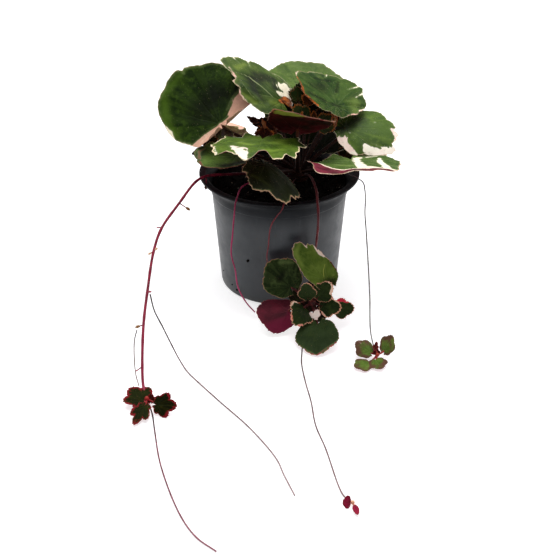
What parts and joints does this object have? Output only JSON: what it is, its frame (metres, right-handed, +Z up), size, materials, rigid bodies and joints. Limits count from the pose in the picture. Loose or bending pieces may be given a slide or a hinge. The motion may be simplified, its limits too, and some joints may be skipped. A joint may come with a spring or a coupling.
{
  "type": "potted strawberry begonia",
  "caption": "Trailing house plant with round scalloped leaves in green, cream and pink, in a plain dark plastic pot, with red runners that carry young plantlets.",
  "frame": {"origin": "middle of the pot's flat underside, on the pot's axis", "axes": "+Z up along the pot's axis, -Y towards the viewer of the picture, +X to the right of the picture"},
  "size_m": [0.1845, 0.3645, 0.1708],
  "materials": {
    "pot": "thin moulded plastic, dark blue-grey, with a soft sheen",
    "soil": "nearly black peat mix with a few pale specks",
    "leaf": "downy dark green with cream and pink patches and margins, purple-red underneath",
    "stem": "slim, hairy and dark red"
  },
  "bodies": {
    "root": {"pot": "pot", "soil": "soil", "crown": "stem", "leaf_left_large": "leaf", "leaf_top_folded": "leaf", "leaf_back_dome": "leaf", "leaf_right_funnel": "leaf", "leaf_right_cream": "leaf", "leaf_right_low": "leaf", "leaf_front_bright": "leaf", "leaf_left_low": "leaf", "leaf_front_hanging": "leaf", "leaf_left_dark": "leaf", "leaf_left_small": "leaf", "leaf_young_front": "leaf", "leaf_young_middle": "leaf", "leaf_young_right": "leaf", "leaf_young_left": "leaf", "leaf_back_left": "leaf", "leaf_back_right": "leaf", "leaf_back_middle": "leaf", "leaf_right_back": "leaf", "runner_left": "stem", "runner_left_branch": "stem", "runner_left_thread": "stem", "runner_left_tip": "stem", "runner_front_left": "stem", "runner_front_middle": "stem", "runner_front_right": "stem", "runner_right": "stem", "runner_front_tip": "stem", "plantlet_left": "leaf", "plantlet_front": "leaf", "plantlet_right": "leaf", "plantlet_tip": "leaf"}
  },
  "joints": []
}
